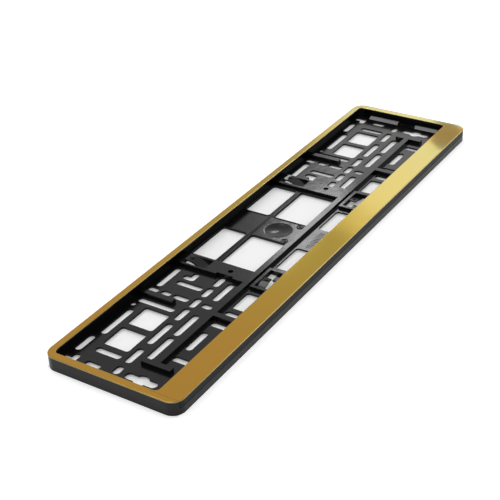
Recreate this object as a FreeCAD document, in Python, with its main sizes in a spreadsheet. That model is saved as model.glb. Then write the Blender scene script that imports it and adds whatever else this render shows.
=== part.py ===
import FreeCAD, Part
import math
import os
import Sketcher

# Number plate holder, lying on its back. X runs along the plate, +Y towards the narrow top rail,
# -Y towards the wide clip-on lath, Z up towards the front face. Millimetres.

ORIGIN = (-1, 1)
START = 1
END = 2
CENTRE = 3

doc = FreeCAD.newDocument("number_plate_holder")

# Driving dimensions: name, value, what it is
SIZES = [
    ("overall_length", 530.0, "over the two short outer walls"),
    ("overall_width", 129.4, "over the two long outer walls"),
    ("moulding_height", 12.0, "black moulding from its foot to the seat of the gold trim"),
    ("corner_radius", 11.0, "outer corners in plan"),
    ("wall_thickness", 2.0, "perimeter wall"),
    ("trim_thickness", 0.8, "gold trim"),
    ("trim_edge_radius", 0.6, "rounding along the upper edges of the trim"),
    ("lip_thickness", 1.5, "lips that hold the plate's edges"),
    ("top_rail_width", 6.5, "top rail in plan"),
    ("side_rail_width", 7.2, "side rails in plan"),
    ("opening_radius", 4.0, "corners of the front opening"),
    ("lath_width", 22.5, "lath in plan, between its long edges"),
    ("lath_end_inset", 5.4, "from the short outer wall to the end of the lath"),
    ("lath_horn", 5.2, "how far the ends of the lath reach up beside the side rails"),
    ("lath_gap", 0.15, "clearance all round the lath"),
    ("skirt_thickness", 1.8, "outer skirt of the lath"),
    ("skirt_foot", 6.2, "height of the ledge that the skirt comes down to"),
    ("seat_wall_thickness", 1.8, "wall under the lath that carries it"),
    ("snap_width", 12.0, "snap ridge along X"),
    ("snap_depth", 0.8, "how far a ridge reaches into its window"),
    ("snap_height", 1.6, "snap ridge along Z"),
    ("snap_level", 7.4, "underside of the snap ridges"),
    ("snap_pitch", 107.5, "from one snap ridge to the next"),
    ("panel_top", 2.8, "upper face of the slotted panel"),
    ("panel_thickness", 1.8, "slotted panel"),
    ("seat_level", 6.2, "top of the ribs and pads, where the plate rests"),
    ("moulded_wall", 1.4, "side walls of the hollow ribs and pads"),
    ("moulded_roof", 1.5, "top of the hollow ribs and pads"),
    ("rib_width", 5.4, "ribs in plan"),
    ("long_rib_line", -15.5, "centre line of the long rib"),
    ("end_rib_station", 224.5, "centre line of the two end ribs"),
    ("end_rib_low", -31.0, "lower end of the end ribs"),
    ("end_rib_high", -3.0, "upper end of the end ribs"),
    ("cross_rib_station", 145.8, "centre line of the cross ribs"),
    ("cross_rib_foot", 23.5, "lower end of the upper cross ribs"),
    ("pad_inner", 75.9, "inner edge of the raised pads"),
    ("pad_outer", 94.2, "outer edge of the raised pads"),
    ("pad_notch_depth", 2.4, "shallow notch in the pad's outer edge"),
    ("pad_notch_low", -1.3, "lower end of that notch"),
    ("pad_notch_high", 15.6, "upper end of that notch"),
    ("pad_hole_station", 85.4, "screw hole in the pad, along X"),
    ("pad_hole_line", 5.8, "screw hole in the pad, along Y"),
    ("pad_hole_radius", 2.5, "screw hole in the pad"),
    ("tongue_bay_length", 26.0, "opening round the upper tongue, along Y"),
    ("tongue_bay_width", 14.0, "opening round the upper tongue, along X"),
    ("tongue_bay_foot", 28.0, "lower end of that opening"),
    ("tongue_side_gap", 2.0, "free slit on each side of a tongue"),
    ("tongue_tip_gap", 3.2, "free slit at the tip of a tongue"),
    ("tongue_thickness", 1.3, "sprung leaf"),
    ("tongue_root", 1.0, "how deep a leaf is rooted in its frame"),
    ("tongue_foot_level", 2.6, "upper face of a sprung leaf at its root"),
    ("upper_tip_level", 8.6, "upper face of the upper leaf at its tip"),
    ("nib_radius", 2.2, "rounded nib that presses on the plate"),
    ("nib_reach", 4.5, "nib centre from the tip of its leaf"),
    ("lower_tip_level", 5.4, "upper face of the lower leaf at its tip"),
    ("lower_leaf_length", 15.7, "free length of the lower leaf"),
    ("lower_leaf_width", 7.0, "lower leaf, along Y"),
    ("lower_leaf_gap", 1.0, "free slit on the upper side of the lower leaf"),
    ("lower_nib_radius", 1.9, "nib of the lower leaf"),
    ("lower_nib_reach", 3.5, "nib centre from the tip of the lower leaf"),
    ("land_reach", 9.4, "low land at the free end of the clip box, along X"),
    ("land_high", -30.5, "upper edge of that land"),
    ("screw_boss_wall", 1.6, "round boss under the pad's screw hole"),
    ("box_inner", 62.7, "inner edge of the lower clip boxes"),
    ("box_outer", 96.1, "outer edge of the lower clip boxes"),
    ("box_top", 5.4, "top of the lower clip boxes"),
    ("box_high", -20.4, "upper edge of the lower clip boxes"),
    ("box_length", 27.0, "lower clip boxes along Y"),
    ("box_frame", 2.9, "rim of the lower clip boxes"),
    ("shelf_reach", 11.0, "end shelves, inwards from the wall's inner face"),
    ("shelf_top", 3.9, "inner edge of the end shelves' sloping top"),
    ("shelf_ramp_run", 5.0, "width of that slope, up to the seat level"),
    ("shelf_low", -36.0, "lower end of the end shelves"),
    ("shelf_high", 44.0, "upper end of the end shelves"),
    ("shelf_block_half", 9.5, "half length of the raised block on each end shelf"),
    ("slot_width", 6.5, "fixing slots"),
    ("square_radius", 2.5, "corners of the square openings and windows"),
    ("square_low", 15.7, "lower edge of the square openings"),
    ("square_high", 41.1, "upper edge of the square openings"),
    ("square_side", 26.2, "square openings along X"),
    ("inner_square", 161.7, "near side of the inner square opening"),
    ("outer_square", 193.6, "near side of the outer square opening"),
    ("window_inner", 18.8, "big windows, side next to the centre"),
    ("window_outer", 72.6, "big windows, side next to the pads"),
    ("upper_window_low", 31.0, "lower edge of the upper windows"),
    ("upper_window_high", 57.2, "upper edge of the upper windows"),
    ("lower_window_high", 25.7, "upper edge of the lower windows"),
    ("bead_width", 0.9, "each bead along the bar between the windows"),
    ("bead_gap", 0.9, "between the two beads"),
    ("bead_height", 0.5, "beads above the panel"),
    ("foot_window_high", -22.4, "upper edge of the windows next to the lath"),
    ("foot_window_low", -52.0, "lower edge of the windows next to the lath"),
    ("foot_window_a_from", 19.0, "inner window next to the lath, near side"),
    ("foot_window_a_to", 57.0, "inner window next to the lath, far side"),
    ("foot_window_b_from", 102.0, "outer window next to the lath, near side"),
    ("foot_window_b_to", 128.0, "outer window next to the lath, far side"),
    ("foot_window_radius", 3.0, "corners of the windows next to the lath"),
    ("dish_radius", 12.9, "rim of the round dish in the centre"),
    ("dish_depth", 1.9, "round dish in the centre"),
    ("dish_line", 9.0, "centre of the dish along Y"),
    ("dish_wall", 0.85, "material under and round the dish"),
    ("keyhole_inset", 21.6, "keyhole slot from the short outer wall"),
    ("keyhole_width", 7.8, "keyhole slot"),
    ("keyhole_low", -30.6, "lower end of the keyhole slot"),
    ("keyhole_high", -0.4, "upper end of the keyhole slot"),
    ("keyhole_eye_line", -15.5, "centre of the keyhole's round eye"),
    ("keyhole_eye_radius", 6.4, "round eye of the keyhole"),
    ("elbow_inset", 16.4, "corner elbow slot, its upright leg from the short outer wall"),
    ("elbow_reach", 24.7, "inner end of its level leg from the short outer wall"),
    ("elbow_drop", 16.0, "centre line of its level leg from the top outer wall"),
    ("elbow_top", 5.8, "upper end of its upright leg from the top outer wall"),
    ("hook_slot_station", 107.2, "upright leg of the small elbow slot"),
    ("hook_slot_line", 32.1, "level leg of the small elbow slot"),
    ("hook_slot_high", 41.1, "upper end of the small elbow slot"),
    ("hook_slot_end", 97.6, "inner end of the small elbow slot"),
    ("drain_station", 162.5, "small round hole under the top rail, along X"),
    ("drain_line", 53.8, "small round hole under the top rail, along Y"),
    ("drain_radius", 2.6, "small round hole under the top rail"),
    ("low_slot_foot", -46.0, "lower ends of the upright slots that run under the lath"),
    ("row_one_line", 8.2, "first row of fixing slots"),
    ("row_two_line", -4.0, "second row of fixing slots"),
    ("low_row_line", -24.0, "row of fixing slots next to the lath"),
    ("top_row_a_line", 51.8, "inner slot under the top rail"),
    ("top_row_b_line", 49.8, "middle slot under the top rail"),
    ("top_row_c_line", 54.4, "outer slot under the top rail"),
]

# Fixing slots of the right half, the left half is its mirror image.
# Slots along X: name, centre line, then the two ends.
LEVEL_SLOTS = [
    ("row_one_a", "row_one_line", 92.3, 107.8),
    ("row_one_b", "row_one_line", 111.0, 126.0),
    ("row_one_c", "row_one_line", 129.0, 143.8),
    ("row_one_d", "row_one_line", 146.2, 165.0),
    ("row_one_e", "row_one_line", 170.8, 202.5),
    ("row_one_f", "row_one_line", 210.2, 231.1),
    ("row_one_g", "row_one_line", 236.3, 247.1),
    ("row_two_a", "row_two_line", 97.3, 126.3),
    ("row_two_b", "row_two_line", 150.6, 183.0),
    ("row_two_c", "row_two_line", 186.3, 219.1),
    ("top_row_a", "top_row_a_line", 97.8, 130.6),
    ("top_row_b", "top_row_b_line", 169.4, 209.3),
    ("top_row_c", "top_row_c_line", 214.5, 236.8),
    ("low_row_a", "low_row_line", 167.0, 194.4),
]

# Slots along Y: name, centre line, then the two ends.
UPRIGHT_SLOTS = [
    ("column_one", 117.0, 14.2, 41.0),
    ("column_two_a", 136.4, 46.4, 57.2),
    ("column_two_b", 136.4, 33.4, 43.6),
    ("column_two_c", 136.4, 15.2, 31.0),
    ("column_two_d", 136.4, -8.8, 1.5),
    ("column_three", 154.4, 17.0, 54.1),
    ("column_four", 228.0, 16.0, 41.1),
    ("column_five", 246.4, 22.4, 37.1),
]

# Slots along Y that start below the long rib and run under the lath: name, centre line, upper end.
LOW_UPRIGHT_SLOTS = [
    ("low_column_a", 136.4, -22.0),
    ("low_column_b", 154.6, -20.3),
    ("low_column_c", 208.2, -20.3),
]

for name, line, first, last in LEVEL_SLOTS:
    SIZES.append((name + "_from", first, "first end of a fixing slot"))
    SIZES.append((name + "_to", last, "last end of a fixing slot"))
for name, line, first, last in UPRIGHT_SLOTS:
    SIZES.append((name + "_line", line, "centre line of a fixing slot"))
    SIZES.append((name + "_from", first, "first end of a fixing slot"))
    SIZES.append((name + "_to", last, "last end of a fixing slot"))
for name, line, high in LOW_UPRIGHT_SLOTS:
    SIZES.append((name + "_line", line, "centre line of a fixing slot"))
    SIZES.append((name + "_to", high, "upper end of a fixing slot"))

sheet = doc.addObject("Spreadsheet::Sheet", "Sizes")
for row, (alias, value, note) in enumerate(SIZES, start=1):
    sheet.set("A%d" % row, note)
    sheet.set("B%d" % row, str(value))
    sheet.setAlias("B%d" % row, alias)
doc.recompute()

NAMES = {alias for alias, value, note in SIZES}

# Formulas that several pieces share
HALF_LENGTH = "overall_length / 2"
HALF_WIDTH = "overall_width / 2"
OPENING_SIDE = "overall_length / 2 - side_rail_width"
OPENING_HIGH = "overall_width / 2 - top_rail_width"
OPENING_LOW = "-overall_width / 2 + lath_width"
LATH_END = "overall_length / 2 - lath_end_inset"
LATH_HIGH = "-overall_width / 2 + lath_width + lath_horn"
WALL_INNER_X = "overall_length / 2 - wall_thickness"
WALL_INNER_Y = "overall_width / 2 - wall_thickness"
SEAT_WALL_FACE = "-overall_width / 2 + wall_thickness"
SEAT_WALL_BACK = "-overall_width / 2 + wall_thickness + seat_wall_thickness"
LIP_UNDERSIDE = "moulding_height - lip_thickness"
TRIM_TOP = "moulding_height + trim_thickness"
PANEL_BOTTOM = "panel_top - panel_thickness"
RIB_LOW = "long_rib_line - rib_width / 2"
RIB_HIGH = "long_rib_line + rib_width / 2"


def minus(formula):
    return "-(%s)" % formula


def bound(text):
    """Turn the size names in a formula into references to the sheet."""
    pieces = []
    word = ""
    for letter in text + " ":
        if letter.isalnum() or letter == "_":
            word += letter
            continue
        pieces.append("Sizes." + word if word in NAMES else word)
        pieces.append(letter)
        word = ""
    return "".join(pieces).strip()


def value_of(text):
    """The present value of a formula of size names."""
    return float(sheet.evalExpression(bound(text)))


def new_body(name):
    body = doc.addObject("PartDesign::Body", name)
    body.Label = name
    doc.recompute()
    return body


def plane_of(body, role):
    return next(item for item in body.Origin.OriginFeatures if item.Role == role)


class Plan:
    """A sketch: shapes are drawn one by one, and their ties and sizes are added all at once."""

    def __init__(self, body, name, offset, role="XY_Plane"):
        self.sketch = body.newObject("Sketcher::SketchObject", name)
        self.sketch.AttachmentSupport = [(plane_of(body, role), "")]
        self.sketch.MapMode = "FlatFace"
        self.sketch.setExpression(".AttachmentOffset.Base.z", bound(offset))
        self.ties = []
        self.formulas = []

    def line(self, here, there):
        edge = Part.LineSegment(FreeCAD.Vector(*here, 0), FreeCAD.Vector(*there, 0))
        return self.sketch.addGeometry(edge, False)

    def arc(self, centre, radius, start_angle, end_angle):
        circle = Part.Circle(FreeCAD.Vector(*centre, 0), FreeCAD.Vector(0, 0, 1), radius)
        piece = Part.ArcOfCircle(circle, math.radians(start_angle), math.radians(end_angle))
        return self.sketch.addGeometry(piece, False)

    def tie(self, *words):
        self.ties.append(Sketcher.Constraint(*words))

    def size(self, kind, item, point, formula):
        """Bind a radius, or the place of a point along X or Y, to a formula."""
        self.formulas.append((len(self.ties), formula))
        if kind == "Radius":
            self.tie(kind, item, value_of(formula))
        else:
            self.tie(kind, *ORIGIN, item, point, value_of(formula))

    def close(self):
        self.sketch.addConstraint(self.ties)
        for index, formula in self.formulas:
            self.sketch.setExpression("Constraints[%d]" % index, bound(formula))
        return self.sketch

    def rectangle(self, left, right, low, high):
        x1, x2, y1, y2 = (value_of(text) for text in (left, right, low, high))
        corners = [(x1, y1), (x2, y1), (x2, y2), (x1, y2)]
        lines = [self.line(here, there) for here, there in zip(corners, corners[1:] + corners[:1])]
        for here, there in zip(lines, lines[1:] + lines[:1]):
            self.tie("Coincident", here, END, there, START)
        for item, kind in zip(lines, ("Horizontal", "Vertical", "Horizontal", "Vertical")):
            self.tie(kind, item)
        self.size("DistanceX", lines[0], START, left)
        self.size("DistanceY", lines[0], START, low)
        self.size("DistanceX", lines[2], START, right)
        self.size("DistanceY", lines[2], START, high)

    def rounded(self, left, right, low, high, radius):
        """A rectangle with four equal round corners."""
        x1, x2, y1, y2, r = (value_of(text) for text in (left, right, low, high, radius))
        runs = [((x1 + r, y1), (x2 - r, y1)), ((x2, y1 + r), (x2, y2 - r)),
                ((x2 - r, y2), (x1 + r, y2)), ((x1, y2 - r), (x1, y1 + r))]
        hubs = [(x2 - r, y1 + r), (x2 - r, y2 - r), (x1 + r, y2 - r), (x1 + r, y1 + r)]
        lines = [self.line(here, there) for here, there in runs]
        arcs = [self.arc(hub, r, turn, turn + 90) for hub, turn in zip(hubs, (-90, 0, 90, 180))]
        for line, arc, following in zip(lines, arcs, lines[1:] + lines[:1]):
            self.tie("Tangent", line, END, arc, START)
            self.tie("Tangent", arc, END, following, START)
        for item, kind in zip(lines, ("Horizontal", "Vertical", "Horizontal", "Vertical")):
            self.tie(kind, item)
        for arc in arcs[1:]:
            self.tie("Equal", arcs[0], arc)
        self.size("Radius", arcs[0], 0, radius)
        self.size("DistanceX", lines[3], START, left)
        self.size("DistanceX", lines[1], START, right)
        self.size("DistanceY", lines[0], START, low)
        self.size("DistanceY", lines[2], START, high)

    def slot(self, along, line, first, last, width="slot_width"):
        """A round-ended slot along X or Y between two ends."""
        r = value_of(width) / 2
        middle = value_of(line)
        near = value_of(first) + r
        far = value_of(last) - r
        if along == "X":
            arcs = [self.arc((near, middle), r, 90, 270), self.arc((far, middle), r, -90, 90)]
            lines = [self.line((near, middle - r), (far, middle - r)),
                     self.line((far, middle + r), (near, middle + r))]
            across, lengthwise, level = "DistanceY", "DistanceX", "Horizontal"
        else:
            arcs = [self.arc((middle, near), r, 180, 360), self.arc((middle, far), r, 0, 180)]
            lines = [self.line((middle + r, near), (middle + r, far)),
                     self.line((middle - r, far), (middle - r, near))]
            across, lengthwise, level = "DistanceX", "DistanceY", "Vertical"
        self.tie("Tangent", arcs[0], END, lines[0], START)
        self.tie("Tangent", lines[0], END, arcs[1], START)
        self.tie("Tangent", arcs[1], END, lines[1], START)
        self.tie("Tangent", lines[1], END, arcs[0], START)
        self.tie(level, lines[0])
        self.size("Radius", arcs[0], 0, "(%s) / 2" % width)
        self.size(across, arcs[0], CENTRE, line)
        self.size(across, arcs[1], CENTRE, line)
        self.size(lengthwise, arcs[0], CENTRE, "%s + (%s) / 2" % (first, width))
        self.size(lengthwise, arcs[1], CENTRE, "%s - (%s) / 2" % (last, width))

    def circle(self, x, y, radius):
        ring = Part.Circle(FreeCAD.Vector(value_of(x), value_of(y), 0), FreeCAD.Vector(0, 0, 1),
                           value_of(radius))
        item = self.sketch.addGeometry(ring, False)
        self.size("Radius", item, 0, radius)
        self.size("DistanceX", item, CENTRE, x)
        self.size("DistanceY", item, CENTRE, y)

    def outline(self, inset="0"):
        """The outer outline of the holder, moved inwards by an inset."""
        x = "%s - %s" % (HALF_LENGTH, inset)
        y = "%s - %s" % (HALF_WIDTH, inset)
        self.rounded(minus(x), x, minus(y), y, "corner_radius - %s" % inset)

    def opening(self):
        """The front opening that the plate shows through."""
        self.rounded(minus(OPENING_SIDE), OPENING_SIDE, OPENING_LOW, OPENING_HIGH, "opening_radius")

    def lath_zone(self, gap):
        """The rectangle that the lath takes up in plan, shrunk by a gap."""
        x = "%s - %s" % (LATH_END, gap)
        self.rectangle(minus(x), x, "-overall_width", "%s - %s" % (LATH_HIGH, gap))


def raise_pad(body, name, plan, height):
    pad = body.newObject("PartDesign::Pad", name)
    pad.Profile = plan.close()
    pad.Refine = False
    pad.setExpression("Length", bound(height))
    doc.recompute()
    return pad


def cut_pocket(body, name, plan, depth, upwards=False):
    """Cut down from the sketch, or up from it, and make sure that something was cut."""
    before = body.Shape.Volume
    pocket = body.newObject("PartDesign::Pocket", name)
    pocket.Profile = plan.close()
    pocket.Refine = False
    pocket.Reversed = upwards
    pocket.setExpression("Length", bound(depth))
    doc.recompute()
    if not body.Shape.Volume < before:
        raise ValueError(name + " cuts nothing")
    return pocket


def round_upper_edges(body, name, level, radius):
    """Round every edge of the level upper face."""
    top = value_of(level)
    names = []
    for number, face in enumerate(body.Shape.Faces, start=1):
        if face.BoundBox.ZMin > top - 0.001:
            names.append("Face%d" % number)
    rounded = body.Tip
    fillet = body.newObject("PartDesign::Fillet", name)
    fillet.Base = (rounded, names)
    fillet.setExpression("Radius", bound(radius))
    doc.recompute()


def keep_lath_zone(body, level):
    """Cut away all that lies outside the lath's own rectangle."""
    plan = Plan(body, body.Name + "_zone", level)
    plan.rectangle("-overall_length", "overall_length", "-2 * overall_width", "overall_width")
    plan.lath_zone("lath_gap")
    cut_pocket(body, body.Name + "_ends", plan, "2 * moulding_height")


def make_rim_trim():
    """Gold strip on the top rail and the two side rails."""
    body = new_body("rim_trim")
    face = Plan(body, "rim_face", "moulding_height")
    face.outline()
    face.opening()
    raise_pad(body, "rim_strip", face, "trim_thickness")
    round_upper_edges(body, "rim_edges", TRIM_TOP, "trim_edge_radius")
    zone = Plan(body, "rim_lath_zone", TRIM_TOP)
    zone.lath_zone("0")
    cut_pocket(body, "rim_lath_space", zone, "trim_thickness")
    return body


def make_lath_trim():
    """Gold face of the lath."""
    body = new_body("lath_trim")
    face = Plan(body, "lath_face", "moulding_height")
    face.outline()
    face.opening()
    raise_pad(body, "lath_strip", face, "trim_thickness")
    round_upper_edges(body, "lath_edges", TRIM_TOP, "trim_edge_radius")
    keep_lath_zone(body, TRIM_TOP)
    return body


def make_lath():
    """Black clip-on strip: top plate, outer skirt and the ridges that snap into the seat wall."""
    body = new_body("lath")
    plate = Plan(body, "lath_plate_plan", LIP_UNDERSIDE)
    plate.outline()
    plate.opening()
    raise_pad(body, "lath_plate", plate, "lip_thickness")
    skirt_low = "skirt_foot + 2 * lath_gap"
    skirt = Plan(body, "lath_skirt_plan", skirt_low)
    skirt.outline()
    skirt.outline("skirt_thickness")
    raise_pad(body, "lath_skirt", skirt, "%s - (%s)" % (LIP_UNDERSIDE, skirt_low))
    keep_lath_zone(body, "moulding_height")
    ridges = Plan(body, "snap_ridge_plan", "snap_level")
    for step in (-2, -1, 0, 1, 2):
        ridges.rectangle("snap_pitch * %d - snap_width / 2" % step,
                         "snap_pitch * %d + snap_width / 2" % step,
                         "-overall_width / 2 + skirt_thickness / 2",
                         SEAT_WALL_FACE + " + snap_depth")
    raise_pad(body, "snap_ridges", ridges, "snap_height")
    return body


def hollow_block(body, name, rectangles, top):
    """Raised blocks of thin moulded plastic, open from behind: the block, then the hollow under it."""
    outside = Plan(body, name + "_plan", PANEL_BOTTOM)
    for left, right, low, high in rectangles:
        outside.rectangle(left, right, low, high)
    raise_pad(body, name, outside, "%s - (%s)" % (top, PANEL_BOTTOM))
    inside = Plan(body, name + "_core_plan", "0")
    for left, right, low, high in rectangles:
        inside.rectangle(left + " + moulded_wall", right + " - moulded_wall",
                         low + " + moulded_wall", high + " - moulded_wall")
    cut_pocket(body, name + "_core", inside, "%s - moulded_roof" % top, upwards=True)


def leaf_radius(run, root_level, tip_level):
    """Radius of the two equal arcs of a leaf's bend, up from its root and level again at its tip."""
    rise = "(%s - %s)" % (tip_level, root_level)
    return "((%s) ^ 2 + %s ^ 2) / (4 * %s)" % (run, rise, rise)


def make_leaf(body, name, role, side, root, tip, tip_level, width):
    """A sprung leaf, drawn from the side."""
    plan = Plan(body, name + "_profile", side, role)
    radius = leaf_radius("%s - (%s)" % (tip, root), "tongue_foot_level", tip_level)
    x1 = value_of(root)
    x2 = value_of(tip)
    bend = value_of(radius)
    half = value_of("tongue_thickness / 2")
    low_hub = value_of("tongue_foot_level") - half + bend
    high_hub = value_of(tip_level) - half - bend
    lean = math.degrees(math.asin(abs(x2 - x1) / 2 / bend))
    joined, free = (END, START) if x2 > x1 else (START, END)
    feet = []
    crests = []
    for inner in (bend - half, bend + half):
        outer = 2 * bend - inner
        if x2 > x1:
            feet.append(plan.arc((x1, low_hub), inner, -90, lean - 90))
            crests.append(plan.arc((x2, high_hub), outer, 90, 90 + lean))
        else:
            feet.append(plan.arc((x1, low_hub), inner, -90 - lean, -90))
            crests.append(plan.arc((x2, high_hub), outer, 90 - lean, 90))
    root_line = plan.line((x1, low_hub - bend + half), (x1, low_hub - bend - half))
    tip_line = plan.line((x2, high_hub + bend + half), (x2, high_hub + bend - half))
    for arcs, line in ((feet, root_line), (crests, tip_line)):
        plan.tie("Coincident", arcs[0], CENTRE, arcs[1], CENTRE)
        plan.tie("Coincident", line, START, arcs[0], free)
        plan.tie("Coincident", line, END, arcs[1], free)
        plan.tie("Vertical", line)
    for foot, crest in zip(feet, crests):
        plan.tie("Tangent", foot, joined, crest, joined)
    plan.size("Radius", feet[0], 0, radius + " - tongue_thickness / 2")
    plan.size("Radius", feet[1], 0, radius + " + tongue_thickness / 2")
    plan.size("DistanceX", feet[0], CENTRE, root)
    plan.size("DistanceY", feet[0], CENTRE, "tongue_foot_level - tongue_thickness / 2 + " + radius)
    plan.size("DistanceX", crests[0], CENTRE, tip)
    plan.size("DistanceY", crests[0], CENTRE, "%s - tongue_thickness / 2 - %s" % (tip_level, radius))
    plan.size("DistanceX", root_line, START, root)
    plan.size("DistanceX", tip_line, START, tip)
    raise_pad(body, name, plan, width)
    return radius


def add_ball(body, name, kind, radius, x, y, z):
    ball = body.newObject("PartDesign::" + kind, name)
    ball.setExpression("Radius", bound(radius))
    for axis, formula in zip("xyz", (x, y, z)):
        ball.setExpression(".Placement.Base." + axis, bound(formula))
    body.Tip = ball
    doc.recompute()


def leaf_level(tip_level, radius, reach):
    """Height of a leaf's middle at a distance from its tip."""
    drop = "%s - sqrt((%s) ^ 2 - %s ^ 2)" % (radius, radius, reach)
    return "%s - tongue_thickness / 2 - (%s)" % (tip_level, drop)


def build_rim(body):
    """Perimeter wall, plate lips, and the space and the seat wall for the lath."""
    wall = Plan(body, "wall_plan", "0")
    wall.outline()
    wall.outline("wall_thickness")
    raise_pad(body, "perimeter_wall", wall, "moulding_height")
    panel = Plan(body, "panel_plan", PANEL_BOTTOM)
    panel.outline("wall_thickness / 2")
    raise_pad(body, "panel", panel, "panel_thickness")
    lip = Plan(body, "lip_plan", LIP_UNDERSIDE)
    lip.outline()
    lip.opening()
    raise_pad(body, "plate_lips", lip, "lip_thickness")
    lath_space = Plan(body, "lath_space_plan", "moulding_height")
    lath_space.lath_zone("0")
    cut_pocket(body, "lath_space", lath_space, "lip_thickness")
    skirt_space = Plan(body, "skirt_space_plan", LIP_UNDERSIDE)
    skirt_space.rectangle(minus(LATH_END), LATH_END, "-overall_width",
                          "-overall_width / 2 + corner_radius")
    cut_pocket(body, "skirt_space", skirt_space, "%s - skirt_foot" % LIP_UNDERSIDE)
    seat = Plan(body, "seat_wall_plan", PANEL_BOTTOM)
    seat.rectangle("-corner_radius", "overall_length / 2 - corner_radius", SEAT_WALL_FACE,
                   SEAT_WALL_BACK)
    raise_pad(body, "seat_wall", seat, "%s - (%s)" % (LIP_UNDERSIDE, PANEL_BOTTOM))
    catch = Plan(body, "snap_window_plan", "snap_level + snap_height + lath_gap")
    for step in (0, 1, 2):
        catch.rectangle("snap_pitch * %d - snap_width / 2 - lath_gap" % step,
                        "snap_pitch * %d + snap_width / 2 + lath_gap" % step,
                        SEAT_WALL_FACE + " - lath_gap", SEAT_WALL_BACK + " + lath_gap")
    cut_pocket(body, "snap_windows", catch, "snap_height + 2 * lath_gap")


def build_ribs(body):
    """Long rib, end rib, cross ribs and the end shelf."""
    half_rib = "rib_width / 2"
    cross_left = "cross_rib_station - " + half_rib
    cross_right = "cross_rib_station + " + half_rib
    hollow_block(body, "long_rib", [
        ("-pad_inner", "end_rib_station", RIB_LOW, RIB_HIGH),
    ], "seat_level")
    hollow_block(body, "cross_ribs", [
        ("end_rib_station - " + half_rib, "end_rib_station + " + half_rib,
         "end_rib_low", "end_rib_high"),
        (cross_left, cross_right, "cross_rib_foot", WALL_INNER_Y + " + moulded_wall / 2"),
        (cross_left, cross_right, SEAT_WALL_BACK + " - moulded_wall / 2", "long_rib_line"),
    ], "seat_level")
    hollow_block(body, "end_shelf", [
        (WALL_INNER_X + " - shelf_reach", WALL_INNER_X + " + moulded_wall / 2",
         "shelf_low", "shelf_high"),
    ], "shelf_top")
    stop = Plan(body, "shelf_block_plan", "shelf_top - moulded_roof / 2")
    stop.rectangle(WALL_INNER_X + " - shelf_reach", WALL_INNER_X + " + moulded_wall / 2",
                   "-shelf_block_half", "shelf_block_half")
    raise_pad(body, "shelf_block", stop, "seat_level - shelf_top + moulded_roof / 2")
    build_shelf_slope(body)


def build_shelf_slope(body):
    """The end shelf's top slopes up to the seat level and is flat from there to the wall."""
    plan = Plan(body, "shelf_slope_profile", minus("shelf_high"), "XZ_Plane")
    edge = WALL_INNER_X + " - shelf_reach"
    crest = edge + " + shelf_ramp_run"
    back = WALL_INNER_X + " + moulded_wall / 2"
    foot = "shelf_top - moulded_roof / 2"
    corners = [(edge, foot), (edge, "shelf_top"), (crest, "seat_level"), (back, "seat_level"),
               (back, foot)]
    points = [(value_of(x), value_of(z)) for x, z in corners]
    lines = [plan.line(here, there) for here, there in zip(points, points[1:] + points[:1])]
    for here, there in zip(lines, lines[1:] + lines[:1]):
        plan.tie("Coincident", here, END, there, START)
    plan.tie("Vertical", lines[0])
    plan.tie("Horizontal", lines[2])
    plan.tie("Vertical", lines[3])
    plan.tie("Horizontal", lines[4])
    plan.size("DistanceX", lines[0], START, edge)
    plan.size("DistanceY", lines[0], START, foot)
    plan.size("DistanceY", lines[1], START, "shelf_top")
    plan.size("DistanceX", lines[2], START, crest)
    plan.size("DistanceY", lines[2], START, "seat_level")
    plan.size("DistanceX", lines[3], START, back)
    raise_pad(body, "shelf_slope", plan, "shelf_high - shelf_low")


def build_pad(body):
    """Raised pad with its edge notch, screw hole, and the sprung tongue in its bay."""
    bay_high = "tongue_bay_foot + tongue_bay_length"
    outside = Plan(body, "pad_plan", PANEL_BOTTOM)
    outside.rectangle("pad_inner", "pad_outer", "long_rib_line", WALL_INNER_Y + " + moulded_wall / 2")
    raise_pad(body, "pad", outside, "seat_level - (%s)" % PANEL_BOTTOM)
    notch = Plan(body, "pad_notch_plan", "seat_level")
    notch.rectangle("pad_outer - pad_notch_depth", "pad_outer + pad_notch_depth",
                    "pad_notch_low", "pad_notch_high")
    cut_pocket(body, "pad_notch", notch, "seat_level - panel_top")
    inside = Plan(body, "pad_core_plan", "0")
    for low, high in ((RIB_HIGH, "tongue_bay_foot - moulded_wall"),
                      (bay_high + " + moulded_wall", WALL_INNER_Y + " - moulded_wall")):
        inside.rectangle("pad_inner + moulded_wall", "pad_outer - pad_notch_depth - moulded_wall",
                         low, high)
    cut_pocket(body, "pad_core", inside, "seat_level - moulded_roof", upwards=True)
    boss = Plan(body, "screw_boss_plan", PANEL_BOTTOM)
    boss.circle("pad_hole_station", "pad_hole_line", "pad_hole_radius + screw_boss_wall")
    raise_pad(body, "screw_boss", boss, "seat_level - moulded_roof / 2 - (%s)" % PANEL_BOTTOM)
    bay = Plan(body, "tongue_bay_plan", "seat_level")
    bay.rectangle("pad_hole_station - tongue_bay_width / 2",
                  "pad_hole_station + tongue_bay_width / 2", "tongue_bay_foot", bay_high)
    bay.circle("pad_hole_station", "pad_hole_line", "pad_hole_radius")
    cut_pocket(body, "tongue_bay", bay, "seat_level")
    leaf_half = "tongue_bay_width / 2 - tongue_side_gap"
    leaf_tip = bay_high + " - tongue_tip_gap"
    bend = make_leaf(body, "upper_tongue", "YZ_Plane", "pad_hole_station - (%s)" % leaf_half,
                     "tongue_bay_foot - tongue_root", leaf_tip, "upper_tip_level",
                     "2 * (%s)" % leaf_half)
    add_ball(body, "upper_nib", "AdditiveSphere", "nib_radius", "pad_hole_station",
             leaf_tip + " - nib_reach", leaf_level("upper_tip_level", bend, "nib_reach"))


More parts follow.
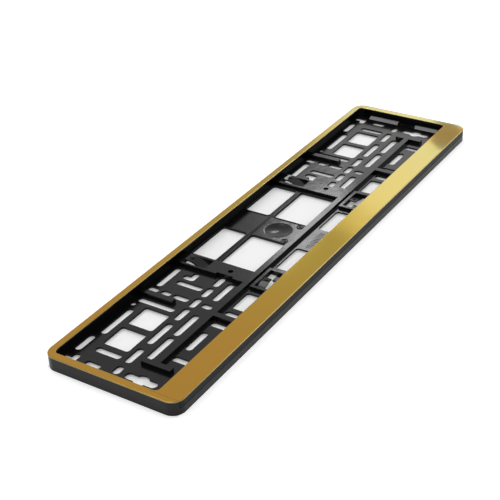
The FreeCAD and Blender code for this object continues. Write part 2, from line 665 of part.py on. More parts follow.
def build_clip_box(body):
    """Raised frame beside the lath, with a low land and a sprung tongue lying along X in it."""
    box_low = "box_high - box_length"
    outside = Plan(body, "clip_box_plan", PANEL_BOTTOM)
    outside.rectangle("box_inner", "box_outer", box_low, "box_high")
    raise_pad(body, "clip_box", outside, "box_top - (%s)" % PANEL_BOTTOM)
    inside = Plan(body, "clip_box_bay_plan", "box_top")
    inside.rectangle("box_inner + box_frame", "box_outer - box_frame",
                     box_low + " + box_frame", "box_high - box_frame")
    cut_pocket(body, "clip_box_bay", inside, "box_top")
    land = Plan(body, "clip_land_plan", PANEL_BOTTOM)
    land.rectangle("box_inner + box_frame / 2", "box_inner + box_frame + land_reach",
                   box_low + " + box_frame / 2", "land_high")
    raise_pad(body, "clip_land", land, "panel_thickness")
    leaf_high = "box_high - box_frame - lower_leaf_gap"
    leaf_root = "box_outer - box_frame + tongue_root"
    leaf_tip = "box_outer - box_frame - lower_leaf_length"
    bend = make_leaf(body, "lower_tongue", "XZ_Plane", minus(leaf_high), leaf_root, leaf_tip,
                     "lower_tip_level", "lower_leaf_width")
    add_ball(body, "lower_nib", "AdditiveSphere", "lower_nib_radius",
             leaf_tip + " + lower_nib_reach", "%s - lower_leaf_width / 2" % leaf_high,
             leaf_level("lower_tip_level", bend, "lower_nib_reach"))


def build_centre(body):
    """Two beads on the bar between the windows, and the round dish."""
    bead = Plan(body, "bead_plan", "panel_top - panel_thickness / 2")
    bead_line = "(lower_window_high + upper_window_low) / 2"
    bead.rectangle("-window_outer", "window_outer", bead_line + " + bead_gap / 2",
                   bead_line + " + bead_gap / 2 + bead_width")
    bead.rectangle("-window_outer", "window_outer", bead_line + " - bead_gap / 2 - bead_width",
                   bead_line + " - bead_gap / 2")
    raise_pad(body, "bar_beads", bead, "panel_thickness / 2 + bead_height")
    boss = Plan(body, "dish_boss_plan", "panel_top - dish_depth - dish_wall")
    boss.circle("0", "dish_line", "dish_radius + dish_wall")
    raise_pad(body, "dish_boss", boss, "dish_depth + dish_wall")
    ball = "(dish_radius ^ 2 + dish_depth ^ 2) / (2 * dish_depth)"
    add_ball(body, "dish", "SubtractiveSphere", ball, "0", "dish_line",
             "panel_top - dish_depth + " + ball)


def cut_slots(body):
    """Fixing slots, openings and windows, all through the panel."""
    level = Plan(body, "level_slot_plan", "panel_top")
    for name, line, first, last in LEVEL_SLOTS:
        level.slot("X", line, name + "_from", name + "_to")
    level.slot("X", HALF_WIDTH + " - elbow_drop", HALF_LENGTH + " - elbow_reach",
               HALF_LENGTH + " - elbow_inset + slot_width / 2")
    level.slot("X", "hook_slot_line", "hook_slot_end", "hook_slot_station + slot_width / 2")
    cut_pocket(body, "level_slots", level, "panel_thickness")
    upright = Plan(body, "upright_slot_plan", "panel_top")
    for name, line, first, last in UPRIGHT_SLOTS:
        upright.slot("Y", name + "_line", name + "_from", name + "_to")
    for name, line, high in LOW_UPRIGHT_SLOTS:
        upright.slot("Y", name + "_line", "low_slot_foot", name + "_to")
    upright.slot("Y", HALF_LENGTH + " - elbow_inset",
                 HALF_WIDTH + " - elbow_drop - slot_width / 2", HALF_WIDTH + " - elbow_top")
    upright.slot("Y", "hook_slot_station", "hook_slot_line - slot_width / 2", "hook_slot_high")
    upright.slot("Y", HALF_LENGTH + " - keyhole_inset", "keyhole_low", "keyhole_high",
                 "keyhole_width")
    cut_pocket(body, "upright_slots", upright, "panel_thickness")
    window = Plan(body, "window_plan", "panel_top")
    for near in ("inner_square", "outer_square"):
        window.rounded(near, near + " + square_side", "square_low", "square_high", "square_radius")
    window.rounded("window_inner", "window_outer", "upper_window_low", "upper_window_high",
                   "square_radius")
    window.rounded("window_inner", "window_outer", RIB_HIGH, "lower_window_high", "square_radius")
    for pane in ("foot_window_a", "foot_window_b"):
        window.rounded(pane + "_from", pane + "_to", "foot_window_low", "foot_window_high",
                       "foot_window_radius")
    window.circle("drain_station", "drain_line", "drain_radius")
    window.circle(HALF_LENGTH + " - keyhole_inset", "keyhole_eye_line", "keyhole_eye_radius")
    cut_pocket(body, "windows", window, "panel_thickness")


def make_base_frame():
    """The black carrier, one moulding: its right half is built, then mirrored."""
    body = new_body("base_frame")
    build_rim(body)
    build_ribs(body)
    build_pad(body)
    build_clip_box(body)
    build_centre(body)
    cut_slots(body)
    left = Plan(body, "left_half_plan", "2 * moulding_height")
    left.rectangle("-overall_length", "0", "-overall_width", "overall_width")
    cut_pocket(body, "left_half_space", left, "4 * moulding_height")
    mirrored = body.newObject("PartDesign::Mirrored", "left_half")
    mirrored.TransformMode = "Whole shape"
    mirrored.MirrorPlane = (plane_of(body, "YZ_Plane"), [""])
    body.Tip = mirrored
    doc.recompute()
    return body


bodies = [make_base_frame(), make_rim_trim(), make_lath(), make_lath_trim()]
doc.recompute()

for item in doc.Objects:
    if "Invalid" in item.State or "Error" in item.State:
        raise RuntimeError(item.Name + " failed: " + ", ".join(item.State))
for body in bodies:
    shape = body.Shape
    if shape.isNull() or not shape.isValid():
        raise RuntimeError(body.Label + " has no valid shape")
    box = shape.BoundBox
    print(body.Label, "solids", len(shape.Solids), "volume", round(shape.Volume),
          "x", round(box.XMin, 2), round(box.XMax, 2), "y", round(box.YMin, 2), round(box.YMax, 2),
          "z", round(box.ZMin, 2), round(box.ZMax, 2))

os.makedirs("parts", exist_ok=True)
for body in bodies:
    body.Shape.exportStep("parts/" + body.Label + ".step")
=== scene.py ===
import math

import bpy
from mathutils import Matrix, Vector


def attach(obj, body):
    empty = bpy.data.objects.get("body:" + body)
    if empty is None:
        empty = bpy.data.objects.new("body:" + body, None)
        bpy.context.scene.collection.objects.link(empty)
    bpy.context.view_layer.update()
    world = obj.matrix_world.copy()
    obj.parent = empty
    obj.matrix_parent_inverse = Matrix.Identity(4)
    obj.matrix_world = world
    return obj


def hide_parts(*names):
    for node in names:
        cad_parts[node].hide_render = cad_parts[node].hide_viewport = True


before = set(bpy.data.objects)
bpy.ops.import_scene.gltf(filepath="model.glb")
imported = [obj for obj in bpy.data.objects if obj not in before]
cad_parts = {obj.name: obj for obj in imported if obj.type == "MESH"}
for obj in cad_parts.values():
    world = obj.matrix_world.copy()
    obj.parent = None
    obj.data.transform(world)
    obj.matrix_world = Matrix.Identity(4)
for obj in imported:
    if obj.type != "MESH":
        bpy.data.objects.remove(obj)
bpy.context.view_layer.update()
bpy.context.scene.view_settings.view_transform = "Standard"
bpy.ops.object.select_all(action="DESELECT")


# Camera: it stands low at the near end of the holder and looks along it, so that the plate
# opening runs away to the upper right.
camera_turn = (58.529, 2.435, -57.670)
camera_data = bpy.data.cameras.new("camera")
camera_data.sensor_width = 36
camera_data.lens = 81.03
camera = bpy.data.objects.new("camera", camera_data)
camera.location = (-0.76324, -0.46977, 0.53319)
camera.rotation_euler = [math.radians(angle) for angle in camera_turn]
bpy.context.collection.objects.link(camera)
bpy.context.scene.camera = camera


# Sky of the studio: an even white dome, a little dimmer overhead. Soft patches in it make the
# sheen on the gold, and one patch of a strength below nought is a dark gap in the first.
WHITE = (1, 1, 1, 1)
horizon_strength = 1.0
overhead_strength = 0.75
dim_from = math.sin(math.radians(30))
dim_to = math.sin(math.radians(66))
# Azimuth, elevation, angle out to which the patch is full, angle at which it ends, strength.
sky_patches = (
    (24.2, 26.8, 1.5, 6.2, 1.35),
    (22.55, 25.65, 0.70, 0.95, -1.45),
    (-26, 32, 5, 15, 5.0),
    (62, 62, 4, 13, 7.5),
)


def heading(azimuth, elevation):
    """The direction of a point of the sky, azimuth counted from +X towards +Y."""
    level = math.cos(math.radians(elevation))
    return Vector((
        level * math.cos(math.radians(azimuth)),
        level * math.sin(math.radians(azimuth)),
        math.sin(math.radians(elevation)),
    ))


def add_node(tree, kind, values):
    """Adds a shader node and sets its sockets, each by its name or number."""
    node = tree.nodes.new(kind)
    for socket, value in values.items():
        node.inputs[socket].default_value = value
    return node


def smooth_step(tree, source, low, high, at_low, at_high):
    """Goes smoothly from one value to another while the source goes from low to high."""
    step = add_node(tree, "ShaderNodeMapRange", {
        "From Min": low, "From Max": high, "To Min": at_low, "To Max": at_high})
    step.interpolation_type = "SMOOTHSTEP"
    tree.links.new(source, step.inputs["Value"])
    return step.outputs["Result"]


world = bpy.data.worlds.new("studio")
bpy.context.scene.world = world
world.use_nodes = True
sky_tree = world.node_tree
sky_tree.nodes.clear()
outlook = add_node(sky_tree, "ShaderNodeTexCoord", {})
outlook_parts = add_node(sky_tree, "ShaderNodeSeparateXYZ", {})
sky_tree.links.new(outlook.outputs["Generated"], outlook_parts.inputs["Vector"])
strength = smooth_step(
    sky_tree, outlook_parts.outputs["Z"], dim_from, dim_to, horizon_strength, overhead_strength)
for azimuth, elevation, full, end, patch_strength in sky_patches:
    nearness = add_node(sky_tree, "ShaderNodeVectorMath", {1: heading(azimuth, elevation)})
    nearness.operation = "DOT_PRODUCT"
    sky_tree.links.new(outlook.outputs["Generated"], nearness.inputs[0])
    patch = smooth_step(
        sky_tree, nearness.outputs["Value"],
        math.cos(math.radians(end)), math.cos(math.radians(full)), 0, patch_strength)
    sum_up = add_node(sky_tree, "ShaderNodeMath", {})
    sky_tree.links.new(strength, sum_up.inputs[0])
    sky_tree.links.new(patch, sum_up.inputs[1])
    strength = sum_up.outputs["Value"]
sky = add_node(sky_tree, "ShaderNodeBackground", {})
backdrop = add_node(sky_tree, "ShaderNodeBackground", {"Color": WHITE})
sky_rays = add_node(sky_tree, "ShaderNodeLightPath", {})
sky_choice = add_node(sky_tree, "ShaderNodeMixShader", {})
sky_out = add_node(sky_tree, "ShaderNodeOutputWorld", {})
sky_tree.links.new(strength, sky.inputs["Strength"])
sky_tree.links.new(sky_rays.outputs["Is Camera Ray"], sky_choice.inputs["Fac"])
sky_tree.links.new(sky.outputs["Background"], sky_choice.inputs[1])
sky_tree.links.new(backdrop.outputs["Background"], sky_choice.inputs[2])
sky_tree.links.new(sky_choice.outputs["Shader"], sky_out.inputs["Surface"])


# Strip lamp: a small oval light a metre beyond the middle of the holder. It makes the sheen
# on the middle of the black plastic.
lamp_aim = Vector((0.008, -0.023, 0.006))
lamp_outward = heading(30.5, 30.5)
lamp_lengthwise = Vector((0.668, -0.405, -0.625)).normalized()
lamp_axes = Matrix((lamp_lengthwise, lamp_outward.cross(lamp_lengthwise), lamp_outward))
lamp_data = bpy.data.lights.new("strip_lamp", "AREA")
lamp_data.shape = "ELLIPSE"
lamp_data.size = 0.2
lamp_data.size_y = 0.045
lamp_data.energy = 0.31
lamp = bpy.data.objects.new("strip_lamp", lamp_data)
lamp.location = lamp_aim + lamp_outward
lamp.rotation_euler = lamp_axes.transposed().to_euler()
bpy.context.collection.objects.link(lamp)


# Floor: a white sweep under the holder, and on it, inside the holder's wall, a greyer sheet of
# painted shade for the holder's shadow. They glow a little to the camera and to mirror rays, and
# take a faint shadow.
floor_size = 6
floor_level = -0.0001
floor_white = (0.82, 0.82, 0.82, 1)
floor_glow = 0.28
floor_camera_glow = 0.2
# Painted shade: a greyer sheet the size of the holder's inside, laid on the floor under it.
shade_sheet_length = 0.526
shade_sheet_width = 0.1254
shade_sheet_level = -0.00005
painted_shade_grey = (0.7, 0.7, 0.7, 1)
shade_sheet_glow = 0.13
shade_sheet_camera_glow = 0.13


def lay_sheet(name, length, width, level):
    """Lays a flat sheet of the studio under the holder."""
    bpy.ops.object.select_all(action="DESELECT")
    bpy.ops.mesh.primitive_plane_add(size=1, location=(0, 0, level))
    sheet = bpy.context.object
    sheet.name = name
    sheet.scale = (length, width, 1)
    bpy.ops.object.transform_apply(location=True, scale=True)
    return sheet


def glowing_paint(name, colour, any_glow, camera_glow):
    """A matt paint that glows where the camera or a mirror ray meets it."""
    paint = bpy.data.materials.new(name)
    paint.use_nodes = True
    tree = paint.node_tree
    tree.nodes.clear()
    matt = add_node(tree, "ShaderNodeBsdfDiffuse", {"Color": colour})
    glow = add_node(tree, "ShaderNodeEmission", {"Color": WHITE})
    both = add_node(tree, "ShaderNodeAddShader", {})
    rays = add_node(tree, "ShaderNodeLightPath", {})
    glow_strength = add_node(tree, "ShaderNodeMath", {1: camera_glow, 2: any_glow})
    glow_strength.operation = "MULTIPLY_ADD"
    seen = add_node(tree, "ShaderNodeMath", {})
    seen.operation = "MAXIMUM"
    choice = add_node(tree, "ShaderNodeMixShader", {})
    out = add_node(tree, "ShaderNodeOutputMaterial", {})
    tree.links.new(rays.outputs["Is Camera Ray"], glow_strength.inputs[0])
    tree.links.new(glow_strength.outputs["Value"], glow.inputs["Strength"])
    tree.links.new(matt.outputs["BSDF"], both.inputs[0])
    tree.links.new(glow.outputs["Emission"], both.inputs[1])
    tree.links.new(rays.outputs["Is Camera Ray"], seen.inputs[0])
    tree.links.new(rays.outputs["Is Glossy Ray"], seen.inputs[1])
    tree.links.new(seen.outputs["Value"], choice.inputs["Fac"])
    tree.links.new(matt.outputs["BSDF"], choice.inputs[1])
    tree.links.new(both.outputs["Shader"], choice.inputs[2])
    tree.links.new(choice.outputs["Shader"], out.inputs["Surface"])
    return paint


floor = lay_sheet("floor", floor_size, floor_size, floor_level)
floor.data.materials.append(
    glowing_paint("floor_white", floor_white, floor_glow, floor_camera_glow))

# Painted shade: the greyer sheet darkens the floor under the holder, as its shadow would.
painted_shade_sheet = lay_sheet("painted_shade_sheet", shade_sheet_length, shade_sheet_width, shade_sheet_level)
painted_shade_sheet.data.materials.append(
    glowing_paint("painted_shade_grey", painted_shade_grey, shade_sheet_glow, shade_sheet_camera_glow))


# Black moulding: the body of the holder, injection-moulded in one piece of black plastic, with
# its slotted back, wall, lips and ribs. Its solid has sharp arrises, so a copy of it gets the
# small mould radius that every edge has, and its dish is drawn again in finer rings.
mould_radius = 0.00028
arris_angle = math.radians(40)
smooth_angle = math.radians(38)
flat_angle = math.radians(1)
weld_distance = 0.000002
sliver_size = 0.000001
panel_top = 0.0028
dish_centre = Vector((0, 0.009))
dish_radius = 0.0129
dish_lip = 0.0011
dish_depth = 0.0019
dish_lip_drop = 0.0003
dish_rings = (
    0.0134, 0.0129, 0.0124, 0.0118, 0.0107, 0.0095,
    0.0082, 0.0068, 0.0054, 0.0040, 0.0026, 0.0012,
)
ring_slack = 0.00004
level_slack = 0.00002
below_top = 0.00001
shelf_from = 0.25
slope_low = 0.90
slope_high = 0.917
# Painted shade on the inner faces that look towards the foot: its length, the foot line it stops
# at, and the facing it needs.
inner_length = 0.25
inner_foot = -0.063
inner_tilt = -0.7
black_colour = (0.004, 0.0041, 0.0042, 1)
plastic_ior = 1.5
black_shine = 0.28
# Painted shade: the duller shine of the inner faces that look towards the foot.
painted_shade_shine = 0.05
relief_strength = 0.6


def only(piece):
    """Selects a piece alone and makes it the active one."""
    bpy.ops.object.select_all(action="DESELECT")
    piece.select_set(True)
    bpy.context.view_layer.objects.active = piece


def merged_copy(node):
    """A copy of a solid's mesh, its flat faces joined up again."""
    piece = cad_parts[node].copy()
    piece.data = piece.data.copy()
    piece.name = node + "_moulded"
    piece.data.name = piece.name
    bpy.context.collection.objects.link(piece)
    only(piece)
    bpy.ops.object.mode_set(mode="EDIT")
    bpy.ops.mesh.select_all(action="SELECT")
    bpy.ops.mesh.remove_doubles(threshold=weld_distance)
    bpy.ops.mesh.dissolve_limited(angle_limit=flat_angle)
    bpy.ops.object.mode_set(mode="OBJECT")
    return piece


def select_faces(piece, wanted):
    """Leaves the piece in edit mode with only the wanted faces selected."""
    only(piece)
    bpy.ops.object.mode_set(mode="EDIT")
    bpy.ops.mesh.select_mode(type="FACE")
    bpy.ops.mesh.select_all(action="DESELECT")
    bpy.ops.object.mode_set(mode="OBJECT")
    for face in piece.data.polygons:
        face.select = wanted(face)
    bpy.ops.object.mode_set(mode="EDIT")


def in_dish(face):
    """Tells a face of the dish by its place, its tilt and its level below the back."""
    near = (face.center.xy - dish_centre).length < dish_radius
    return near and face.normal.z > 0.5 and face.center.z < panel_top - below_top


def dish_level(radius):
    """Height of the dish at a radius: a ball's hollow, with its lip rounded off."""
    ball = (dish_radius ** 2 + dish_depth ** 2) / (2 * dish_depth)
    lip_inside = dish_radius - dish_lip
    if radius > lip_inside:
        slope = lip_inside / math.sqrt(ball ** 2 - lip_inside ** 2)
        return panel_top - slope * (dish_radius + dish_lip - radius) ** 2 / (4 * dish_lip)
    hollow = math.sqrt(ball ** 2 - lip_inside ** 2) - math.sqrt(ball ** 2 - radius ** 2)
    return panel_top - dish_lip_drop + hollow


def smooth_dish(piece):
    """Takes the dish's coarse facets out and draws it in again from its lip, ring by ring."""
    select_faces(piece, in_dish)
    bpy.ops.mesh.delete(type="FACE")
    bpy.ops.mesh.select_mode(type="EDGE")
    bpy.ops.mesh.select_all(action="DESELECT")
    bpy.ops.object.mode_set(mode="OBJECT")
    corners = piece.data.vertices
    for edge in piece.data.edges:
        edge.select = all(
            abs((corners[corner].co.xy - dish_centre).length - dish_radius) < ring_slack
            and abs(corners[corner].co.z - panel_top) < level_slack
            for corner in edge.vertices)
    bpy.ops.object.mode_set(mode="EDIT")
    pivot = (dish_centre.x, dish_centre.y, 0)
    ring = dish_radius + dish_lip
    spread = ring / dish_radius
    bpy.ops.transform.resize(value=(spread, spread, 1), center_override=pivot)
    height = panel_top
    for step in dish_rings:
        drop = dish_level(step) - height
        bpy.ops.mesh.extrude_region_move(TRANSFORM_OT_translate={"value": (0, 0, drop)})
        bpy.ops.transform.resize(value=(step / ring, step / ring, 1), center_override=pivot)
        ring = step
        height += drop
    bpy.ops.mesh.edge_face_add()
    bpy.ops.mesh.poke()
    bpy.ops.object.mode_set(mode="OBJECT")


def on_slope(face):
    """Tells a face of the end shelves' slopes by its place and its tilt."""
    return abs(face.center.x) > shelf_from and slope_low < face.normal.z < slope_high


def round_edges(piece, radius, turn):
    """Rounds the edges at which a piece turns by more than an angle."""
    rounding = piece.modifiers.new("rounding", "BEVEL")
    rounding.width = radius
    rounding.segments = 2
    rounding.limit_method = "ANGLE"
    rounding.angle_limit = turn
    bpy.ops.object.modifier_apply(modifier="rounding")


def round_off(piece, radius):
    """Rounds a solid's edges, clears slivers and sets its shading, with flat slopes."""
    only(piece)
    round_edges(piece, radius, arris_angle)
    bpy.ops.object.mode_set(mode="EDIT")
    bpy.ops.mesh.select_all(action="SELECT")
    bpy.ops.mesh.dissolve_degenerate(threshold=sliver_size)
    bpy.ops.object.mode_set(mode="OBJECT")
    bpy.ops.object.shade_smooth_by_angle(angle=smooth_angle)
    select_faces(piece, on_slope)
    bpy.ops.mesh.mark_sharp()
    bpy.ops.object.mode_set(mode="OBJECT")
    shading = piece.modifiers.new("shading", "WEIGHTED_NORMAL")
    shading.keep_sharp = True
    shading.weight = 100
    bpy.ops.object.modifier_apply(modifier="shading")


def uneven_gloss(tree, place, scale, detail, lowest, highest):
    """Lets the roughness wander slowly over a face between two values."""
    flow = add_node(tree, "ShaderNodeTexNoise", {"Scale": scale, "Detail": detail})
    gloss = add_node(tree, "ShaderNodeMapRange", {"To Min": lowest, "To Max": highest})
    tree.links.new(place.outputs["Object"], flow.inputs["Vector"])
    tree.links.new(flow.outputs["Fac"], gloss.inputs["Value"])
    return gloss.outputs["Result"]


def uneven_face(tree, place, scale, detail, height):
    """Lets a face rise and fall a little, as a moulded or pressed one does."""
    swell = add_node(tree, "ShaderNodeTexNoise", {"Scale": scale, "Detail": detail})
    relief = add_node(tree, "ShaderNodeBump", {"Strength": relief_strength, "Distance": height})
    tree.links.new(place.outputs["Object"], swell.inputs["Vector"])
    tree.links.new(swell.outputs["Fac"], relief.inputs["Height"])
    return relief.outputs["Normal"]


def duller_copy(material, name, shine):
    """The same plastic with another strength of its mirror shine."""
    copy = material.copy()
    copy.name = name
    copy.node_tree.nodes["Principled BSDF"].inputs["Specular IOR Level"].default_value = shine
    return copy


black_plastic = bpy.data.materials.new("black_plastic")
black_plastic.use_nodes = True
black_tree = black_plastic.node_tree
black_skin = black_tree.nodes["Principled BSDF"]
black_skin.inputs["Base Color"].default_value = black_colour
black_skin.inputs["IOR"].default_value = plastic_ior
black_skin.inputs["Specular IOR Level"].default_value = black_shine
black_place = add_node(black_tree, "ShaderNodeTexCoord", {})
black_gloss = uneven_gloss(
    black_tree, black_place, scale=28, detail=4, lowest=0.13, highest=0.22)
black_relief = uneven_face(black_tree, black_place, scale=110, detail=2, height=0.0002)
black_tree.links.new(black_gloss, black_skin.inputs["Roughness"])
black_tree.links.new(black_relief, black_skin.inputs["Normal"])

base = merged_copy("base_frame")
smooth_dish(base)
round_off(base, mould_radius)
base.data.materials.clear()
base.data.materials.append(black_plastic)
# Painted shade: the inner faces that look towards the foot shine less than the rest, so they show
# darker, as in shadow.
base.data.materials.append(duller_copy(black_plastic, "painted_shade_plastic", painted_shade_shine))
for face in base.data.polygons:
    inside = abs(face.center.x) < inner_length and face.center.y > inner_foot
    face.material_index = 1 if inside and face.normal.y < inner_tilt else 0
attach(base, "root")
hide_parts("base_frame")


# Rims of the four big windows: a fine raised line runs round each opening.
# They are moulded in one with the back and stand about half a millimetre proud.
window_inner = 0.0188
window_outer = 0.0726
window_bands = ((0.0310, 0.0572), (-0.0128, 0.0257))
rim_gap = 0.0002
rim_width = 0.0009
rim_height = 0.0006
rim_corner = 0.0034
rim_corner_steps = 5
rim_rounding = 0.00015
rim_arris_angle = math.radians(30)
sink = 0.0003  # how deep an added detail reaches into the back

window_length = window_outer - window_inner
rim_reach = 2 * (rim_gap + rim_width)
rims = []
for side in (-1, 1):
    for low, high in window_bands:
        bpy.ops.object.select_all(action="DESELECT")
        middle = (side * (window_inner + window_outer) / 2, (low + high) / 2, panel_top - sink)
        bpy.ops.mesh.primitive_plane_add(size=1, location=middle)
        rim = bpy.context.object
        rim.scale = (window_length + rim_reach, high - low + rim_reach, 1)
        bpy.ops.object.transform_apply(location=True, scale=True)
        bpy.ops.object.mode_set(mode="EDIT")
        bpy.ops.mesh.select_all(action="SELECT")
        bpy.ops.mesh.bevel(offset=rim_corner, segments=rim_corner_steps, affect="VERTICES")
        bpy.ops.mesh.inset(thickness=rim_width)
        bpy.ops.mesh.delete(type="FACE")
        bpy.ops.object.mode_set(mode="OBJECT")
        rims.append(rim)
bpy.ops.object.select_all(action="DESELECT")
for rim in rims:
    rim.select_set(True)
window_rims = rims[0]
bpy.context.view_layer.objects.active = window_rims
bpy.ops.object.join()
window_rims.name = "window_rims"
body = window_rims.modifiers.new("body", "SOLIDIFY")
body.thickness = sink + rim_height
body.offset = 1
bpy.ops.object.modifier_apply(modifier="body")
round_edges(window_rims, rim_rounding, rim_arris_angle)
bpy.ops.object.shade_smooth_by_angle(angle=smooth_angle)
window_rims.data.materials.append(black_plastic)
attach(window_rims, "root")


# Sockets beside the dish: two small round marks with a raised centre, where the moulding
# is pushed out of its tool. They are part of the back.
socket_place = (0.0142, -0.0064)
socket_sides = 36
socket_outer = 0.0036
socket_wall = 0.0009
socket_core = 0.0012
socket_height = 0.0006
socket_hollow = 0.0005
socket_core_height = 0.0006
socket_rounding = 0.0002

for side, name in ((-1, "socket_near"), (1, "socket_far")):
    bpy.ops.object.select_all(action="DESELECT")
    bpy.ops.mesh.primitive_cylinder_add(
        vertices=socket_sides, radius=socket_outer, depth=sink + socket_height,
        location=(side * socket_place[0], socket_place[1], panel_top + (socket_height - sink) / 2))
    socket = bpy.context.object
    socket.name = name
    bpy.ops.object.transform_apply(location=True)
    select_faces(socket, lambda face: face.normal.z > 0.9)
    bpy.ops.mesh.inset(thickness=socket_wall)
    bpy.ops.mesh.extrude_region_move(TRANSFORM_OT_translate={"value": (0, 0, -socket_hollow)})
    bpy.ops.mesh.inset(thickness=socket_outer - socket_wall - socket_core)
    bpy.ops.mesh.extrude_region_move(TRANSFORM_OT_translate={"value": (0, 0, socket_core_height)})
    bpy.ops.object.mode_set(mode="OBJECT")
    round_edges(socket, socket_rounding, arris_angle)
    bpy.ops.object.shade_smooth_by_angle(angle=smooth_angle)
    socket.data.materials.append(black_plastic)
    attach(socket, "root")


# Grip patch at the middle of the foot, next to the clip-on strip: two rows of short ribs.
# They are moulded in one with the back.
grip_count = 11
grip_pitch = 0.0027
grip_stagger = 0.5
grip_first_row = -0.0308
grip_second_row = -0.0371
grip_length = 0.0052
grip_width = 0.0011
grip_height = 0.0003
grip_rounding = 0.0002
grip_smooth_angle = math.radians(20)

bpy.ops.object.select_all(action="DESELECT")
bpy.ops.mesh.primitive_cube_add(size=1)
grip = bpy.context.object
grip.name = "grip_ribs"
grip.scale = (grip_width, grip_length, sink + grip_height)
grip.location = (
    -grip_pitch * (grip_count - 1) / 2, grip_first_row, panel_top + (grip_height - sink) / 2)
bpy.ops.object.transform_apply(location=True, scale=True)
bpy.ops.object.mode_set(mode="EDIT")
bpy.ops.mesh.select_all(action="SELECT")
bpy.ops.mesh.bevel(offset=grip_rounding, segments=1, affect="EDGES")
bpy.ops.object.mode_set(mode="OBJECT")
for name, count, shift in (
    ("along", grip_count, (grip_pitch, 0, 0)),
    ("rows", 2, (grip_pitch * grip_stagger, grip_second_row - grip_first_row, 0)),
):
    row = grip.modifiers.new(name, "ARRAY")
    row.count = count
    row.use_relative_offset = False
    row.use_constant_offset = True
    row.constant_offset_displace = shift
    bpy.ops.object.modifier_apply(modifier=name)
bpy.ops.object.shade_smooth_by_angle(angle=grip_smooth_angle)
grip.data.materials.append(black_plastic)
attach(grip, "root")


# Clip-on strip: black plastic, moulded on its own and pushed over the seat wall at the foot.
# Its skirt and end faces show beside the gold. The narrow band round the gold, at the very top
# of the strip, hardly shines: painted shade, a dark line under the edge of the gold.
strip_colour = (0.026, 0.0264, 0.0265, 1)
strip_shine = 0.04
shade_line_shine = 0.01
# Painted shade: the height above which the strip's top band shows as a dark line under the gold.
shade_line_from = 0.0107

strip_plastic = duller_copy(black_plastic, "strip_plastic", strip_shine)
strip_skin = strip_plastic.node_tree.nodes["Principled BSDF"]
strip_skin.inputs["Base Color"].default_value = strip_colour
strip = merged_copy("lath")
round_off(strip, mould_radius)
strip.data.materials.clear()
strip.data.materials.append(strip_plastic)
# Painted shade: the top band of the strip, under the gold, shines less and shows dark.
strip.data.materials.append(duller_copy(black_plastic, "shade_line_plastic", shade_line_shine))
for face in strip.data.polygons:
    face.material_index = 1 if face.center.z > shade_line_from else 0
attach(strip, "root")
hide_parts("lath")


# Gold faces: a metallised film pressed on the rim and on the clip-on strip, a satin mirror
# under a thin clear lacquer. Its colour along the holder is painted sheen: warm at the near end,
# paler and yellower towards the far end as a painted highlight, and browner near the far end of
# the strip as a painted reflection.
# It is darker where it rolls over the edges: painted shade set by each face's tilt.
film_radius = 0.0002
film_half_length = 0.26
film_sheen = (0.92, 0.82, 0.62, 1)
lacquer_weight = 0.35
lacquer_roughness = 0.05
# Painted shade: a darker, greyer gold on the faces that tilt over the edges.
edge_painted_shade = (0.30, 0.24, 0.10, 1)
edge_from = 0.97
edge_full = 0.85
# How far along the holder, from the near end to the far end, and the colour of painted sheen
# there.
rim_painted_sheen = (
    (0.10, (0.483, 0.256, 0.030, 1)),
    (0.50, (0.460, 0.300, 0.042, 1)),
    (0.80, (0.425, 0.312, 0.068, 1)),
    (1.00, (0.357, 0.327, 0.130, 1)),
)
strip_painted_sheen = (
    (0.10, (0.490, 0.254, 0.026, 1)),
    (0.48, (0.462, 0.314, 0.030, 1)),
    (0.72, (0.390, 0.318, 0.086, 1)),
    (0.88, (0.375, 0.325, 0.108, 1)),
    (0.94, (0.409, 0.258, 0.043, 1)),
)


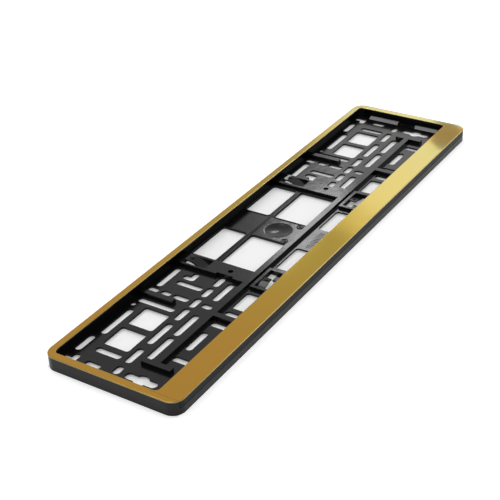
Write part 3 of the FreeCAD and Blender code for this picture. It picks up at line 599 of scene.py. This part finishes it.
def gold_film(name, painted_sheen_stops):
    """The film, with its own run of painted sheen along the holder."""
    film = bpy.data.materials.new(name)
    film.use_nodes = True
    tree = film.node_tree
    skin = tree.nodes["Principled BSDF"]
    skin.inputs["Metallic"].default_value = 1
    skin.inputs["Specular Tint"].default_value = film_sheen
    skin.inputs["Coat Weight"].default_value = lacquer_weight
    skin.inputs["Coat Roughness"].default_value = lacquer_roughness
    place = add_node(tree, "ShaderNodeTexCoord", {})
    place_parts = add_node(tree, "ShaderNodeSeparateXYZ", {})
    along = add_node(tree, "ShaderNodeMapRange", {
        "From Min": -film_half_length, "From Max": film_half_length})
    tint = add_node(tree, "ShaderNodeValToRGB", {})
    ramp = tint.color_ramp
    ramp.interpolation = "EASE"
    for count, (position, colour) in enumerate(painted_sheen_stops):
        stop = ramp.elements[count] if count < 2 else ramp.elements.new(position)
        stop.position = position
        stop.color = colour
    facing = add_node(tree, "ShaderNodeNewGeometry", {})
    facing_parts = add_node(tree, "ShaderNodeSeparateXYZ", {})
    rolled = add_node(tree, "ShaderNodeMapRange", {"From Min": edge_from, "From Max": edge_full})
    # A colour Mix node has its two colours in sockets 6 and 7 and gives its colour from 2.
    at_edge = add_node(tree, "ShaderNodeMix", {7: edge_painted_shade})
    at_edge.data_type = "RGBA"
    tree.links.new(place.outputs["Object"], place_parts.inputs["Vector"])
    tree.links.new(place_parts.outputs["X"], along.inputs["Value"])
    tree.links.new(along.outputs["Result"], tint.inputs["Fac"])
    tree.links.new(facing.outputs["Normal"], facing_parts.inputs["Vector"])
    tree.links.new(facing_parts.outputs["Z"], rolled.inputs["Value"])
    tree.links.new(rolled.outputs["Result"], at_edge.inputs[0])
    tree.links.new(tint.outputs["Color"], at_edge.inputs[6])
    tree.links.new(at_edge.outputs[2], skin.inputs["Base Color"])
    gloss = uneven_gloss(tree, place, scale=16, detail=3, lowest=0.03, highest=0.05)
    ripple = uneven_face(tree, place, scale=22, detail=1, height=0.0003)
    tree.links.new(gloss, skin.inputs["Roughness"])
    tree.links.new(ripple, skin.inputs["Normal"])
    tree.links.new(ripple, skin.inputs["Coat Normal"])
    return film


for node, film_name, painted_sheen_stops in (
    ("rim_trim", "rim_film", rim_painted_sheen),
    ("lath_trim", "strip_film", strip_painted_sheen),
):
    gold_piece = merged_copy(node)
    round_off(gold_piece, film_radius)
    gold_piece.data.materials.clear()
    gold_piece.data.materials.append(gold_film(film_name, painted_sheen_stops))
    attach(gold_piece, "root")
    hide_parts(node)
